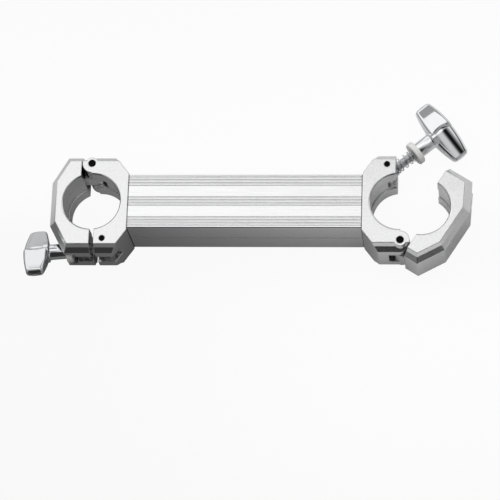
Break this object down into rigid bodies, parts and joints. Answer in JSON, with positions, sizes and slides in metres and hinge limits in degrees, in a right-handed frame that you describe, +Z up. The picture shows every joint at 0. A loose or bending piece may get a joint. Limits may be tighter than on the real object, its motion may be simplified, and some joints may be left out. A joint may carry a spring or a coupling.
{
  "type": "tube clamp",
  "caption": "Straight ribbed aluminium bar with a hinged quick-release tube clamp on each end, closed by a swing bolt with a spring, pressure washer and wing nut.",
  "frame": {"origin": "centre of the bar's back face, midway between the two tube axes", "axes": "+X along the bar towards the open clamp, +Y across the bar towards the latched clamp's hinge, +Z up out of the front face; the part lies on its back face"},
  "size_m": [0.2973, 0.1248, 0.04],
  "materials": {
    "clamp_aluminium": "satin machined",
    "extruded_aluminium": "bright anodised extrusion",
    "washer_nylon": "moulded, matt",
    "chrome": "polished plating",
    "bolt_steel": "zinc plated",
    "spring_steel": "bright drawn wire",
    "black_steel": "black oxide"
  },
  "bodies": {
    "frame": {"bar_extrusion": "extruded_aluminium", "left_fixed_half": "clamp_aluminium", "left_hinge_pin": "black_steel", "left_pivot_pin": "black_steel", "left_bar_screw": "black_steel", "left_dowels": "bolt_steel", "right_fixed_half": "clamp_aluminium", "right_hinge_pin": "black_steel", "right_pivot_pin": "black_steel", "right_bar_screw": "black_steel", "right_dowels": "bolt_steel"},
    "left_jaw": {"left_jaw": "clamp_aluminium"},
    "left_bolt": {"left_swing_bolt": "bolt_steel", "left_spring": "spring_steel"},
    "left_washer": {"left_washer": "washer_nylon"},
    "left_nut": {"left_wing_nut": "chrome"},
    "right_jaw": {"right_jaw": "clamp_aluminium"},
    "right_bolt": {"right_swing_bolt": "bolt_steel", "right_spring": "spring_steel"},
    "right_washer": {"right_washer": "washer_nylon"},
    "right_nut": {"right_wing_nut": "chrome"}
  },
  "joints": [
    {"name": "left_jaw_hinge", "type": "hinge", "parent": "frame", "child": "left_jaw", "pos_m": [-0.1025, 0.0266, 0.02], "axis": [0, 0, 1], "range_deg": [-1.1, 2]},
    {"name": "left_bolt_swing", "type": "hinge", "parent": "frame", "child": "left_bolt", "pos_m": [-0.0933, -0.02575, 0.02], "axis": [0, 0, 1], "range_deg": [0, 100]},
    {"name": "left_washer_slide", "type": "slide", "parent": "left_bolt", "child": "left_washer", "axis": [-0.9959, -0.0906, 0], "range_m": [-0.0011, 0.006], "deforming": ["left_spring"]},
    {"name": "left_nut_turn", "type": "hinge", "parent": "left_washer", "child": "left_nut", "pos_m": [-0.0933, -0.02575, 0.02], "axis": [-0.9959, -0.0906, 0], "range_deg": [-396, 2160]},
    {"name": "right_jaw_hinge", "type": "hinge", "parent": "frame", "child": "right_jaw", "pos_m": [0.1025, -0.0266, 0.02], "axis": [0, 0, 1], "range_deg": [-58, 32]},
    {"name": "right_bolt_swing", "type": "hinge", "parent": "frame", "child": "right_bolt", "pos_m": [0.0933, 0.02575, 0.02], "axis": [0, 0, 1], "range_deg": [-14, 65]},
    {"name": "right_washer_slide", "type": "slide", "parent": "right_bolt", "child": "right_washer", "axis": [0.7627, 0.6468, 0], "range_m": [-0.002, 0.006], "deforming": ["right_spring"]},
    {"name": "right_nut_turn", "type": "hinge", "parent": "right_washer", "child": "right_nut", "pos_m": [0.0933, 0.02575, 0.02], "axis": [0.7627, 0.6468, 0], "range_deg": [-720, 2160]}
  ],
  "couplings": [
    {"joint": "left_washer_slide", "follows": "left_nut_turn", "m_per_rad": 0.00015915},
    {"joint": "right_washer_slide", "follows": "right_nut_turn", "m_per_rad": 0.00015915}
  ]
}
